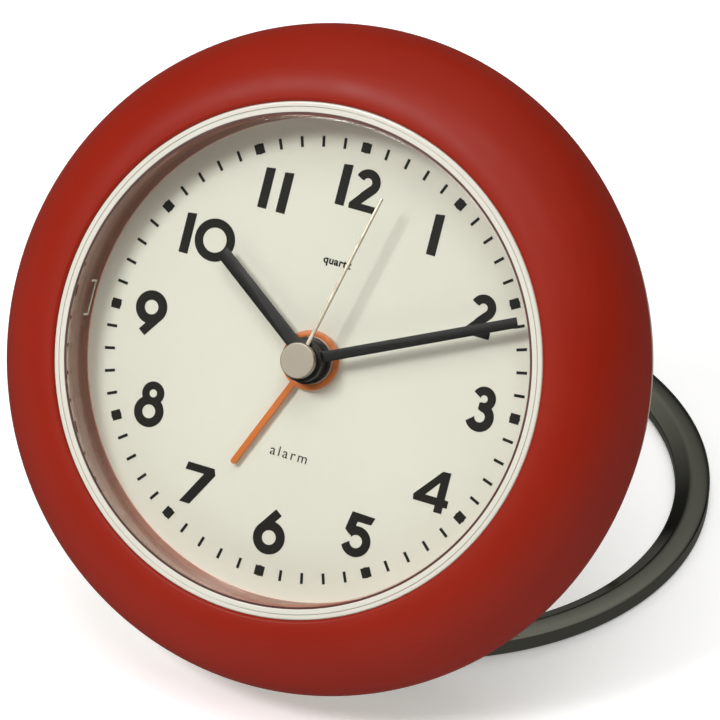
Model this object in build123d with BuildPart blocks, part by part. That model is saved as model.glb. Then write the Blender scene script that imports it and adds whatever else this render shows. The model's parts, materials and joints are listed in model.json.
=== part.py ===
from build123d import *
import os
from math import asin, atan2, cos, degrees, hypot, radians, sin, sqrt

# Travel alarm clock standing on its folding ring, millimetres.
# World frame: +Z up, the dial faces -Y and leans back, the table is z = 0.
# Clock frame: x towards 3 o'clock, y towards 12 o'clock, z out of the dial face.

os.makedirs("parts", exist_ok=True)

# ---------------------------------------------------------------- driving sizes
lean = 31.66                  # degrees the dial leans back
body_r = 41.5                 # largest radius of the red bezel
waist_z = -4.9                # height of that largest radius
crown_r = 32.3                # radius of the bezel's front crest
crown_z = 7.0                 # height of the front crest
bezel_bore_r = 31.45          # inner edge of the bezel
bezel_wall = 2.0
seam_z = -6.2                 # lower edge of the bezel
seam_gap = 0.2

rear_rim_r = 41.05            # rear shell at the seam
shoulder_c_r = 33.4           # centre of the rear shoulder's round
shoulder_c_z = -9.14
shoulder_round = 7.0
shoulder_tilt = 11.0          # degrees, slope of the shell's side
case_wall = 1.6
boss_r = 32.0                 # raised middle of the back
boss_z = -20.5
boss_round = 1.5

tick_r = 26.8                 # radius of the minute track
numeral_rx = 22.3             # the figures sit on a slightly wide ring
numeral_ry = 21.8
numeral_h = 5.1
pair_inset = 2.15             # two-figure hours sit this much further in
single_shift = 0.15           # one-figure hours sit this much to the right
print_t = 0.04                # thickness of the printed ink
dial_t = 0.4
dial_r = 31.45
seat_t = 1.2

crystal_r = 30.4              # outside of the clear cup
crystal_wall = 0.7
crystal_top = 6.8
crystal_t = 0.8
surround_top = 6.75

hour_angle = 305.1            # clockwise from 12
minute_angle = 65.2
second_angle = 13.3
alarm_angle = 203.8

ring_r = 39.4                 # outside of the stand ring
ring_bore_r = 34.85
ring_h = 2.6
ring_y = -15.14               # ring centre in the clock frame, at mid height
ring_z = -50.33
closed_y = 0.4                # ring centre when folded flat on the back

cell_r = 5.25                 # small dry cell
cell_l = 44.5
cell_y = -14.2
cell_z = -12.2

run = 0.05                    # running clearance on radius
slide_gap = 0.15              # clearance of sliding and lift-off pieces

# ---------------------------------------------------------------- clock frame
lean_s = sin(radians(lean))
lean_c = cos(radians(lean))
ring_height = ring_y * lean_c + ring_z * lean_s
centre_height = ring_h / 2 - ring_height

crest_a = body_r - crown_r
crest_b = crown_z - waist_z
front_reach = crown_r * lean_s + waist_z * lean_c + hypot(crest_a * lean_s, crest_b * lean_c)
back_reach = ring_y * lean_s - ring_z * lean_c + ring_r
centre_depth = (front_reach - back_reach) / 2

normal = Vector(0, -lean_c, lean_s)
upright = Vector(0, lean_s, lean_c)
centre = Vector(0, centre_depth, centre_height)
clock = Plane(origin=centre, x_dir=(1, 0, 0), z_dir=normal)
profile = Plane(origin=centre, x_dir=(1, 0, 0), z_dir=upright * -1)
arbor = Axis(centre, normal)


def in_world(x, y, z):
    """Point of the clock frame in world coordinates."""
    return centre + Vector(1, 0, 0) * x + upright * y + normal * z


def polar(radius, angle):
    """Clock-frame point at a radius and an angle clockwise from 12."""
    return (radius * sin(radians(angle)), radius * cos(radians(angle)))


def turned(height, angle):
    """Dial plane at a height, turned clockwise so that its y follows a hand."""
    across = Vector(1, 0, 0) * cos(radians(angle)) - upright * sin(radians(angle))
    return Plane(origin=in_world(0, 0, height), x_dir=across, z_dir=normal)


def toothed(teeth, module, phase):
    """Outline points of a slim-toothed clock wheel, one tooth centred at phase degrees."""
    tip = module * (teeth / 2 + 0.7)
    root = module * (teeth / 2 - 1.05)
    pitch = 360 / teeth
    points = []
    for tooth in range(teeth):
        middle = phase + tooth * pitch
        for radius, offset in ((root, -0.21), (tip, -0.09), (tip, 0.09), (root, 0.21)):
            turn = radians(middle + offset * pitch)
            points.append((radius * cos(turn), radius * sin(turn)))
    return points


# ---------------------------------------------------------------- red bezel
with BuildPart() as front_bezel:
    with BuildSketch(profile):
        with BuildLine():
            low = degrees(asin((seam_z - waist_z) / crest_b))
            crest = EllipticalCenterArc((crown_r, waist_z), crest_a, crest_b, low, arc_size=95 - low)
            Line(crest @ 1, (bezel_bore_r, crown_z - 0.3))
            Line((bezel_bore_r, crown_z - 0.3), (bezel_bore_r, 0))
            Line((bezel_bore_r, 0), (bezel_bore_r + 1.5, 0))
            inner_a = crest_a - bezel_wall
            inner_b = crest_b - bezel_wall
            rise = inner_b * sqrt(1 - ((bezel_bore_r + 1.5 - crown_r) / inner_a) ** 2)
            Line((bezel_bore_r + 1.5, 0), (bezel_bore_r + 1.5, waist_z + rise))
            corner = degrees(atan2(rise / inner_b, (bezel_bore_r + 1.5 - crown_r) / inner_a))
            EllipticalCenterArc((crown_r, waist_z), inner_a, inner_b, 0, arc_size=corner)
            Line((crown_r + inner_a, waist_z), (crown_r + inner_a, seam_z))
            Line((crown_r + inner_a, seam_z), crest @ 0)
        make_face()
    revolve(axis=arbor)
    lower_rim = front_bezel.edges().filter_by(GeomType.CIRCLE).group_by(SortBy.RADIUS)[-1]
    fillet(lower_rim, 0.7)
front_bezel.part.label = "front_bezel"
export_step(front_bezel.part, "parts/front_bezel.step")

# ---------------------------------------------------------------- pale ring around the crystal
tab_w = 3.2
tab_out = 0.45
tab_h = 1.3
tab_z = 1.2
with BuildPart() as lens_surround:
    with BuildSketch(clock):
        Circle(bezel_bore_r)
        Circle(crystal_r, mode=Mode.SUBTRACT)
    extrude(amount=surround_top)
    outer_edges = lens_surround.edges().filter_by(GeomType.CIRCLE).group_by(SortBy.RADIUS)[-1]
    fillet(outer_edges.sort_by(arbor)[-1], 0.35)
    with BuildSketch(clock.offset(tab_z)):
        Rectangle(2 * (crystal_r + tab_out), tab_w)
    extrude(amount=tab_h, mode=Mode.SUBTRACT)
lens_surround.part.label = "lens_surround"
export_step(lens_surround.part, "parts/lens_surround.step")

# ---------------------------------------------------------------- clear crystal
with BuildPart() as crystal:
    with BuildSketch(clock):
        Circle(crystal_r)
    extrude(amount=crystal_top)
    fillet(crystal.edges().sort_by(arbor)[-1], 0.3)
    with BuildSketch(clock.offset(tab_z)):
        Rectangle(2 * (crystal_r + tab_out), tab_w)
    extrude(amount=tab_h)
    with BuildSketch(clock):
        Circle(crystal_r - crystal_wall)
    extrude(amount=crystal_top - crystal_t, mode=Mode.SUBTRACT)
crystal.part.label = "crystal"
export_step(crystal.part, "parts/crystal.step")

# ---------------------------------------------------------------- dial and its seat
tube_bore_r = 3.4
with BuildPart() as dial:
    with BuildSketch(clock.offset(-dial_t)):
        Circle(dial_r)
        Circle(tube_bore_r, mode=Mode.SUBTRACT)
    extrude(amount=dial_t)
dial.part.label = "dial"
export_step(dial.part, "parts/dial.step")

boss_floor = boss_z + case_wall
seat_z = -dial_t - seat_t
seat_r = crown_r + inner_a * sqrt(1 - ((waist_z + dial_t) / inner_b) ** 2)
post_r = 2.2
screw_r = 0.9
screw_turns = (24, 156, 240, 300)
screw_ring_r = 27.0
screw_spots = []
for turn in screw_turns:
    screw_spots.append((screw_ring_r * cos(radians(turn)), screw_ring_r * sin(radians(turn))))
seat_edge_r = bezel_bore_r + 1.5
with BuildPart() as dial_seat:
    with BuildSketch(clock.offset(seat_z)):
        Circle(seat_r)
        Circle(tube_bore_r, mode=Mode.SUBTRACT)
    extrude(amount=seat_t)
    with BuildSketch(clock.offset(-dial_t)):
        Circle(seat_edge_r)
        Circle(bezel_bore_r, mode=Mode.SUBTRACT)
    extrude(amount=dial_t)
    with BuildSketch(clock.offset(seat_z)):
        with Locations(*screw_spots):
            Circle(post_r)
    extrude(amount=boss_floor - seat_z)
    with BuildSketch(clock.offset(boss_floor)):
        with Locations(*screw_spots):
            Circle(screw_r)
    extrude(amount=9.0, mode=Mode.SUBTRACT)
dial_seat.part.label = "dial_seat"
export_step(dial_seat.part, "parts/dial_seat.step")

# ---------------------------------------------------------------- printed minute track
with BuildPart() as minute_track:
    with BuildSketch(clock):
        with PolarLocations(tick_r, 60):
            Rectangle(1.34, 0.36)
        with PolarLocations(tick_r, 12):
            Rectangle(1.22, 1.22)
    extrude(amount=print_t)
minute_track.part.label = "minute_track"
export_step(minute_track.part, "parts/minute_track.step")


# ---------------------------------------------------------------- printed numerals
bar_half = 0.118              # parts of the numeral height from here on
small_bowl_r = 0.29
large_bowl_r = 0.386
small_hole_r = 0.098
large_hole_r = 0.169


def disc(x, y, radius, mode=Mode.ADD):
    """Disc of a figure, in parts of the numeral height."""
    with Locations((x * numeral_h, y * numeral_h)):
        Circle(radius * numeral_h, mode=mode)


def straight(*points, mode=Mode.ADD):
    """Straight-sided stroke, corners in parts of the numeral height."""
    corners = []
    for x, y in points:
        corners.append((x * numeral_h, y * numeral_h))
    Polygon(*corners, align=None, mode=mode)


def figure(digit):
    """Sketch of one bold geometric figure about its own centre."""
    with BuildSketch() as glyph:
        if digit == 0:
            disc(0, 0, 0.523)
            disc(0, 0, 0.304, Mode.SUBTRACT)
        elif digit == 1:
            straight((-bar_half, 0.475), (-bar_half, -0.505), (bar_half, -0.505), (bar_half, 0.505))
        elif digit == 2:
            disc(0.006, 0.19, 0.322)
            disc(0.006, 0.19, 0.108, Mode.SUBTRACT)
            straight((-0.647, 0.49), (-0.155, 0.231), (0.006, 0.19), (0.082, 0.122), (-0.147, -0.137),
                     (-0.647, -0.176), mode=Mode.SUBTRACT)
            straight((0.246, -0.024), (-0.035, -0.339), (0.327, -0.339), (0.327, -0.51),
                     (-0.327, -0.51), (-0.339, -0.382), (0.082, 0.122))
        elif digit == 3:
            disc(0, 0.25, 0.297)
            disc(0, -0.19, 0.357)
            disc(0, 0.25, 0.09, Mode.SUBTRACT)
            disc(0, -0.19, 0.131, Mode.SUBTRACT)
            straight((-0.59, 0.543), (-0.118, 0.27), (0, 0.176), (-0.088, 0.143), (-0.088, -0.018),
                     (0, -0.059), (-0.147, -0.216), (-0.214, -0.273), (-0.59, -0.573), mode=Mode.SUBTRACT)
        elif digit == 4:
            straight((-0.533, -0.254), (-0.509, -0.385), (0.056, -0.385), (0.056, -0.545), (0.264, -0.545),
                     (0.264, -0.385), (0.365, -0.385), (0.365, -0.206), (0.264, -0.195), (0.264, 0.459),
                     (0.056, 0.447))
            straight((-0.241, -0.195), (0.056, -0.195), (0.056, 0.174), mode=Mode.SUBTRACT)
        elif digit == 5:
            disc(-0.031, -0.201, 0.374)
            disc(-0.031, -0.201, 0.16, Mode.SUBTRACT)
            straight((-0.625, -0.588), (-0.281, -0.291), (-0.15, -0.201), (-0.191, -0.089),
                     (-0.536, 0.214), mode=Mode.SUBTRACT)
            straight((-0.293, 0.482), (-0.37, 0.036), (-0.269, -0.053), (-0.191, -0.089), (-0.061, 0.078),
                     (-0.12, 0.185), (-0.102, 0.274), (0.242, 0.274), (0.308, 0.464))
        elif digit == 7:
            straight((-0.285, 0.494), (-0.316, 0.304), (0.178, 0.304), (-0.279, -0.494), (-0.006, -0.494),
                     (0.476, 0.339), (0.415, 0.494))
        elif digit == 8:
            disc(0, 0.273, small_bowl_r)
            disc(0, -0.18, large_bowl_r)
            disc(0, 0.273, small_hole_r, Mode.SUBTRACT)
            disc(0, -0.18, large_hole_r, Mode.SUBTRACT)
        else:
            disc(0, -0.147, 0.41)
            straight((0.006, 0.561), (-0.328, 0.09), (-0.235, 0.029), (-0.041, 0.122), (0.186, 0.441))
            disc(0, -0.147, 0.178, Mode.SUBTRACT)
    if digit == 9:
        return glyph.sketch.rotate(Axis.Z, 180)
    return glyph.sketch


def advance(digit):
    """Room that a figure takes in a row, in parts of the numeral height."""
    if digit == 1:
        return 0.488
    if digit == 0:
        return 0.961
    return 0.653


def numeral(hour):
    """Placed figures of one hour on the dial."""
    digits = [int(mark) for mark in str(hour)]
    reach = numeral_rx - pair_inset * (len(digits) - 1)
    left = reach * sin(radians(30 * hour)) - sum(advance(digit) for digit in digits) * numeral_h / 2
    if len(digits) == 1:
        left += single_shift
    middle_y = numeral_ry * cos(radians(30 * hour))
    placed = []
    for digit in digits:
        width = advance(digit) * numeral_h
        placed.append(Pos(left + width / 2, middle_y) * figure(digit))
        left += width
    return placed


ink = []
for hour in range(1, 13):
    ink.extend(numeral(hour))
with BuildPart() as hour_numerals:
    with BuildSketch(clock):
        add(ink)
    extrude(amount=print_t)
hour_numerals.part.label = "hour_numerals"
export_step(hour_numerals.part, "parts/hour_numerals.step")

# ---------------------------------------------------------------- hands
second_shaft_r = 0.55
minute_tube_r = 1.45
hour_tube_r = 2.2
alarm_tube_r = 2.95

alarm_z = 0.7
alarm_t = 0.35
alarm_disc_r = 3.7
alarm_reach = 16.1
alarm_w = 0.76
alarm_top = alarm_z + alarm_t
with BuildPart() as alarm_hand:
    with BuildSketch(turned(alarm_z, alarm_angle)):
        Circle(alarm_disc_r)
        with Locations((0, alarm_reach / 2)):
            SlotCenterToCenter(alarm_reach - alarm_w / 2, alarm_w, rotation=90)
        Circle(alarm_tube_r, mode=Mode.SUBTRACT)
    extrude(amount=alarm_t)
alarm_hand.part.label = "alarm_hand"
export_step(alarm_hand.part, "parts/alarm_hand.step")


def hand_blade(length, root_w, tip_w):
    """Tapered blade from the arbor towards +y."""
    Polygon((-root_w / 2, 0), (root_w / 2, 0), (tip_w / 2, length), (-tip_w / 2, length), align=None)


hour_z = 1.75
hand_t = 0.3
hour_hub_r = 2.92
hour_hub_z = 1.5
hour_top = 2.25
with BuildPart() as hour_hand:
    with BuildSketch(turned(hour_z, hour_angle)):
        hand_blade(17.3, 1.74, 1.68)
    extrude(amount=hand_t)
    with BuildSketch(clock.offset(hour_hub_z)):
        Circle(hour_hub_r)
    extrude(amount=hour_top - hour_hub_z)
    with BuildSketch(clock.offset(hour_hub_z)):
        Circle(hour_tube_r)
    extrude(amount=hour_top - hour_hub_z, mode=Mode.SUBTRACT)
hour_hand.part.label = "hour_hand"
export_step(hour_hand.part, "parts/hour_hand.step")

minute_z = 3.15
minute_hub_z = 2.55
minute_hub_top = 4.3
minute_hub_r = 2.6
with BuildPart() as minute_hand:
    with BuildSketch(turned(minute_z, minute_angle)):
        hand_blade(27.6, 1.32, 1.28)
    extrude(amount=hand_t)
    with BuildSketch(clock.offset(minute_hub_z)):
        Circle(minute_hub_r)
    extrude(amount=minute_hub_top - minute_hub_z)
    with BuildSketch(clock.offset(minute_hub_z)):
        Circle(minute_tube_r)
    extrude(amount=minute_hub_top - minute_hub_z, mode=Mode.SUBTRACT)
minute_hand.part.label = "minute_hand"
export_step(minute_hand.part, "parts/minute_hand.step")

second_z = 4.75
second_t = 0.15
second_hub_r = 1.6
cap_r = 2.2
cap_top = 5.7
cap_socket = 0.4              # how far the arbor goes into the cap
with BuildPart() as second_hand:
    with BuildSketch(turned(second_z, second_angle)):
        Circle(second_hub_r)
        hand_blade(22.3, 0.52, 0.42)
        Circle(second_shaft_r, mode=Mode.SUBTRACT)
    extrude(amount=second_t)
second_hand.part.label = "second_hand"
export_step(second_hand.part, "parts/second_hand.step")

with BuildPart() as second_cap:
    with BuildSketch(clock.offset(second_z + second_t)):
        Circle(cap_r)
    extrude(amount=cap_top - second_z - second_t)
    fillet(second_cap.edges().sort_by(arbor)[-1], 0.12)
    with BuildSketch(clock.offset(second_z + second_t)):
        Circle(second_shaft_r)
    extrude(amount=cap_socket, mode=Mode.SUBTRACT)
second_cap.part.label = "second_cap"
export_step(second_cap.part, "parts/second_cap.step")

# ---------------------------------------------------------------- wheel train layout
train_d = 9.0                 # distance of the third and motion wheels from the centre
motion_turn = 20              # degrees anticlockwise from 3 o'clock
third_turn = 160
alarm_turn = 90
cannon_teeth = 12
motion_teeth = 36
motion_pinion_teeth = 10
hour_teeth = 40
second_pinion_teeth = 8
third_teeth = 60
third_pinion_teeth = 8
centre_teeth = 64
alarm_teeth = 48
alarm_pinion_teeth = 16
alarm_module = 0.33

cannon_module = 2 * train_d / (cannon_teeth + motion_teeth)
hour_module = 2 * train_d / (motion_pinion_teeth + hour_teeth)
third_module = 2 * train_d / (second_pinion_teeth + third_teeth)
centre_module = 2 * train_d / (third_pinion_teeth + centre_teeth)
alarm_d = alarm_module * (alarm_teeth + alarm_pinion_teeth) / 2

motion_x = train_d * cos(radians(motion_turn))
motion_y = train_d * sin(radians(motion_turn))
third_x = train_d * cos(radians(third_turn))
third_y = train_d * sin(radians(third_turn))
alarm_x = alarm_d * cos(radians(alarm_turn))
alarm_y = alarm_d * sin(radians(alarm_turn))

frame_z = seat_z              # front of the movement
frame_wall = 1.0
split_z = -8.0
cover_z = -14.2
alarm_wheel_z = -3.7
hour_wheel_z = -4.8
cannon_z = -6.2
centre_wheel_z = -7.4
third_wheel_z = -8.9
wheel_t = 0.7
thin_wheel_t = 0.6
pinion_t = 0.9
pivot_gap = 0.2               # an arbor stops this far above the back of the cover
pivot_r = 0.5
knob_r = 4.5
knob_z = boss_z - 0.4
knob_h = 3.0
stem_r = 0.9

# ---------------------------------------------------------------- movement wheels
with BuildPart() as alarm_wheel:
    with BuildSketch(clock.offset(alarm_wheel_z)):
        with BuildLine():
            Polyline(*toothed(alarm_teeth, alarm_module, alarm_turn), close=True)
        make_face()
    extrude(amount=wheel_t)
    with BuildSketch(clock.offset(alarm_wheel_z)):
        Circle(alarm_tube_r)
    extrude(amount=alarm_top - alarm_wheel_z)
    with BuildSketch(clock.offset(alarm_wheel_z)):
        Circle(hour_tube_r + run)
    extrude(amount=alarm_top - alarm_wheel_z, mode=Mode.SUBTRACT)
alarm_wheel.part.label = "alarm_wheel"
export_step(alarm_wheel.part, "parts/alarm_wheel.step")

with BuildPart() as hour_wheel:
    with BuildSketch(clock.offset(hour_wheel_z)):
        with BuildLine():
            Polyline(*toothed(hour_teeth, hour_module, motion_turn), close=True)
        make_face()
    extrude(amount=wheel_t)
    with BuildSketch(clock.offset(hour_wheel_z)):
        Circle(hour_tube_r)
    extrude(amount=hour_top - hour_wheel_z)
    with BuildSketch(clock.offset(hour_wheel_z)):
        Circle(minute_tube_r + run)
    extrude(amount=hour_top - hour_wheel_z, mode=Mode.SUBTRACT)
hour_wheel.part.label = "hour_wheel"
export_step(hour_wheel.part, "parts/hour_wheel.step")

with BuildPart() as centre_wheel:
    with BuildSketch(clock.offset(centre_wheel_z)):
        with BuildLine():
            Polyline(*toothed(centre_teeth, centre_module, third_turn), close=True)
        make_face()
    extrude(amount=thin_wheel_t)
    with BuildSketch(clock.offset(centre_wheel_z)):
        with BuildLine():
            Polyline(*toothed(cannon_teeth, cannon_module, motion_turn), close=True)
        make_face()
    extrude(amount=cannon_z + 0.8 - centre_wheel_z)
    with BuildSketch(clock.offset(centre_wheel_z)):
        Circle(minute_tube_r)
    extrude(amount=minute_hub_top - centre_wheel_z)
    with BuildSketch(clock.offset(centre_wheel_z)):
        Circle(second_shaft_r + run)
    extrude(amount=minute_hub_top - centre_wheel_z, mode=Mode.SUBTRACT)
centre_wheel.part.label = "centre_wheel"
export_step(centre_wheel.part, "parts/centre_wheel.step")

with BuildPart() as seconds_arbor:
    with BuildSketch(clock.offset(third_wheel_z - 0.3)):
        with BuildLine():
            Polyline(*toothed(second_pinion_teeth, third_module, third_turn), close=True)
        make_face()
    extrude(amount=1.2)
    with BuildSketch(clock.offset(cover_z + pivot_gap)):
        Circle(second_shaft_r)
    extrude(amount=second_z + second_t + cap_socket - cover_z - pivot_gap)
seconds_arbor.part.label = "seconds_arbor"
export_step(seconds_arbor.part, "parts/seconds_arbor.step")

third_plane = Plane(origin=in_world(third_x, third_y, 0), x_dir=(1, 0, 0), z_dir=normal)
with BuildPart() as third_wheel:
    with BuildSketch(third_plane.offset(third_wheel_z)):
        with BuildLine():
            phase = third_turn + 180 + 180 / third_teeth
            Polyline(*toothed(third_teeth, third_module, phase), close=True)
        make_face()
    extrude(amount=thin_wheel_t)
    with BuildSketch(third_plane.offset(third_wheel_z)):
        with BuildLine():
            phase = third_turn + 180 + 180 / third_pinion_teeth
            Polyline(*toothed(third_pinion_teeth, centre_module, phase), close=True)
        make_face()
    extrude(amount=centre_wheel_z + 0.8 - third_wheel_z)
    with BuildSketch(third_plane.offset(cover_z + pivot_gap)):
        Circle(pivot_r)
    extrude(amount=frame_z - frame_wall + thin_wheel_t - cover_z - pivot_gap)
third_wheel.part.label = "third_wheel"
export_step(third_wheel.part, "parts/third_wheel.step")

motion_plane = Plane(origin=in_world(motion_x, motion_y, 0), x_dir=(1, 0, 0), z_dir=normal)
with BuildPart() as motion_wheel:
    with BuildSketch(motion_plane.offset(cannon_z)):
        with BuildLine():
            phase = motion_turn + 180 + 180 / motion_teeth
            Polyline(*toothed(motion_teeth, cannon_module, phase), close=True)
        make_face()
    extrude(amount=wheel_t)
    with BuildSketch(motion_plane.offset(cannon_z)):
        with BuildLine():
            phase = motion_turn + 180 + 180 / motion_pinion_teeth
            Polyline(*toothed(motion_pinion_teeth, hour_module, phase), close=True)
        make_face()
    extrude(amount=hour_wheel_z + pinion_t - cannon_z)
    with BuildSketch(motion_plane.offset(knob_z)):
        Circle(stem_r)
    extrude(amount=cannon_z - knob_z)
motion_wheel.part.label = "motion_wheel"
export_step(motion_wheel.part, "parts/motion_wheel.step")

alarm_plane = Plane(origin=in_world(alarm_x, alarm_y, 0), x_dir=(1, 0, 0), z_dir=normal)
with BuildPart() as alarm_pinion:
    with BuildSketch(alarm_plane.offset(alarm_wheel_z - 0.2)):
        with BuildLine():
            phase = alarm_turn + 180 + 180 / alarm_pinion_teeth
            Polyline(*toothed(alarm_pinion_teeth, alarm_module, phase), close=True)
        make_face()
    extrude(amount=1.1)
    with BuildSketch(alarm_plane.offset(knob_z)):
        Circle(stem_r)
    extrude(amount=alarm_wheel_z - knob_z)
alarm_pinion.part.label = "alarm_pinion"
export_step(alarm_pinion.part, "parts/alarm_pinion.step")

# ---------------------------------------------------------------- setting knobs
for name, plane in (("time_knob", motion_plane), ("alarm_knob", alarm_plane)):
    with BuildPart() as knob:
        with BuildSketch(plane.offset(knob_z)):
            Circle(knob_r)
        extrude(amount=-knob_h)
        rim = knob.edges().filter_by(GeomType.CIRCLE).sort_by(arbor)[0]
        fillet(rim, 0.5)
        with BuildSketch(plane.offset(knob_z)):
            with PolarLocations(knob_r, 24):
                Circle(0.22)
        extrude(amount=-knob_h, mode=Mode.SUBTRACT)
    knob.part.label = name
    export_step(knob.part, "parts/" + name + ".step")

# ---------------------------------------------------------------- movement housing
frame_half_x = 20.0
frame_top_y = 20.0
frame_low_y = -10.5
cover_low_y = -7.5
frame_round = 2.5


def box_outline(low_y, inset):
    """Rounded outline of the movement housing."""
    width = 2 * (frame_half_x - inset)
    height = frame_top_y - low_y - 2 * inset
    with Locations((0, (frame_top_y + low_y) / 2)):
        RectangleRounded(width, height, frame_round - inset)


with BuildPart() as movement_frame:
    with BuildSketch(clock.offset(split_z)):
        box_outline(frame_low_y, 0)
    extrude(amount=frame_z - split_z)
    with BuildSketch(clock.offset(split_z)):
        box_outline(frame_low_y, frame_wall)
    extrude(amount=frame_z - frame_wall - split_z, mode=Mode.SUBTRACT)
    with BuildSketch(clock.offset(frame_z - frame_wall)):
        Circle(alarm_tube_r + run)
        with Locations((third_x, third_y)):
            Circle(pivot_r + run)
    extrude(amount=frame_wall, mode=Mode.SUBTRACT)
movement_frame.part.label = "movement_frame"
export_step(movement_frame.part, "parts/movement_frame.step")

with BuildPart() as movement_cover:
    with BuildSketch(clock.offset(cover_z)):
        box_outline(cover_low_y, 0)
    extrude(amount=split_z - cover_z)
    with BuildSketch(clock.offset(cover_z + frame_wall)):
        box_outline(cover_low_y, frame_wall)
    extrude(amount=split_z - cover_z - frame_wall, mode=Mode.SUBTRACT)
    with BuildSketch(clock.offset(cover_z)):
        Circle(second_shaft_r + run)
        with Locations((third_x, third_y)):
            Circle(pivot_r + run)
        with Locations((motion_x, motion_y), (alarm_x, alarm_y)):
            Circle(stem_r + run)
    extrude(amount=frame_wall, mode=Mode.SUBTRACT)
movement_cover.part.label = "movement_cover"
export_step(movement_cover.part, "parts/movement_cover.step")

# ---------------------------------------------------------------- stepping motor, board and sounder
coil_y = 15.0
coil_r = 2.2
coil_l = 11.0
core_r = 0.8
coil_z = cover_z + frame_wall + 0.8 + coil_r
core_plane = Plane(origin=in_world(0, coil_y, coil_z), x_dir=normal * -1, z_dir=(1, 0, 0))
coil_left = -16.5
with BuildPart() as coil:
    with BuildSketch(core_plane.offset(coil_left)):
        Circle(coil_r)
        Circle(core_r, mode=Mode.SUBTRACT)
    extrude(amount=coil_l)
coil.part.label = "coil"
export_step(coil.part, "parts/coil.step")

leg_w = 1.2
with BuildPart() as stator:
    with BuildSketch(core_plane.offset(coil_left - leg_w)):
        Circle(core_r)
    extrude(amount=coil_l + 2 * leg_w)
    with BuildSketch(clock.offset(cover_z + frame_wall)):
        with Locations((coil_left - leg_w / 2, coil_y), (coil_left + coil_l + leg_w / 2, coil_y)):
            Rectangle(leg_w, 3.0)
    extrude(amount=coil_r + 0.8)
stator.part.label = "stator"
export_step(stator.part, "parts/stator.step")

board_t = 1.0
board_hole_r = 1.6
buzzer_x = -13.0
buzzer_y = 5.0
buzzer_r = 6.5
buzzer_t = 2.4
switch_x = 12.5
switch_y = 15.5
with BuildPart() as circuit_board:
    with BuildSketch(clock.offset(cover_z - board_t)):
        box_outline(cover_low_y, 1.0)
        Circle(board_hole_r, mode=Mode.SUBTRACT)
        with Locations((motion_x, motion_y), (alarm_x, alarm_y)):
            Circle(board_hole_r, mode=Mode.SUBTRACT)
    extrude(amount=board_t)
circuit_board.part.label = "circuit_board"
export_step(circuit_board.part, "parts/circuit_board.step")

with BuildPart() as buzzer:
    with BuildSketch(clock.offset(boss_floor)):
        with Locations((buzzer_x, buzzer_y)):
            Circle(buzzer_r)
    extrude(amount=buzzer_t)
    with BuildSketch(clock.offset(boss_floor)):
        with Locations((buzzer_x, buzzer_y)):
            Circle(buzzer_r - 1.2)
    extrude(amount=0.6, mode=Mode.SUBTRACT)
buzzer.part.label = "buzzer"
export_step(buzzer.part, "parts/buzzer.step")

# ---------------------------------------------------------------- alarm on/off slider
switch_w = 2.6
switch_travel = 3.0
slider_l = 3.4
slot_l = slider_l + switch_travel + 2 * slide_gap
slider_x = switch_x - switch_travel / 2
board_back = cover_z - board_t
plate_t = 0.8
with BuildPart() as alarm_switch:
    with BuildSketch(clock.offset(boss_floor + 0.1)):
        with Locations((slider_x, switch_y)):
            Rectangle(slider_l + 3.6, switch_w + 2.4)
    extrude(amount=plate_t)
    with BuildSketch(clock.offset(boss_z - 1.3)):
        with Locations((slider_x, switch_y)):
            RectangleRounded(slider_l, switch_w, 0.4)
    extrude(amount=boss_floor + 0.1 - boss_z + 1.3)
    with BuildSketch(clock.offset(boss_z - 1.3)):
        with GridLocations(0.9, 1, 3, 1):
            with Locations((slider_x, switch_y)):
                Rectangle(0.3, switch_w)
    extrude(amount=0.3, mode=Mode.SUBTRACT)
alarm_switch.part.label = "alarm_switch"
export_step(alarm_switch.part, "parts/alarm_switch.step")

with BuildPart() as switch_body:
    with BuildSketch(clock.offset(boss_floor + 0.1 + plate_t + slide_gap)):
        with Locations((switch_x, switch_y)):
            Rectangle(12.0, 6.0)
    extrude(amount=board_back - boss_floor - 0.1 - plate_t - slide_gap)
switch_body.part.label = "switch_body"
export_step(switch_body.part, "parts/switch_body.step")

# ---------------------------------------------------------------- dry cell, cradle and contacts
cell_plane = Plane(origin=in_world(0, cell_y, cell_z), x_dir=normal * -1, z_dir=(1, 0, 0))
nub = 0.9
nub_r = 1.9
spring_room = 2.6             # between the cell and the end of the cradle
with BuildPart() as battery:
    with BuildSketch(cell_plane.offset(-cell_l / 2)):
        Circle(cell_r)
    extrude(amount=cell_l - nub)
    with BuildSketch(cell_plane.offset(cell_l / 2 - nub)):
        Circle(nub_r)
    extrude(amount=nub)
battery.part.label = "battery"
export_step(battery.part, "parts/battery.step")

cradle_half = 25.6
cradle_low_y = -20.0
cradle_top_y = -10.6
contact_t = 0.35
with BuildPart() as battery_cradle:
    with BuildSketch(clock.offset(cell_z)):
        with Locations((0, (cradle_low_y + cradle_top_y) / 2)):
            Rectangle(2 * cradle_half, cradle_top_y - cradle_low_y)
    extrude(amount=cell_r + 0.9)
    with BuildSketch(cell_plane.offset(-cell_l / 2 - spring_room)):
        Circle(cell_r)
    extrude(amount=cell_l + spring_room + contact_t, mode=Mode.SUBTRACT)
battery_cradle.part.label = "battery_cradle"
export_step(battery_cradle.part, "parts/battery_cradle.step")

with BuildPart() as contact_plus:
    with BuildSketch(cell_plane.offset(cell_l / 2)):
        Circle(3.6)
    extrude(amount=contact_t)
contact_plus.part.label = "contact_plus"
export_step(contact_plus.part, "parts/contact_plus.step")

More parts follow.
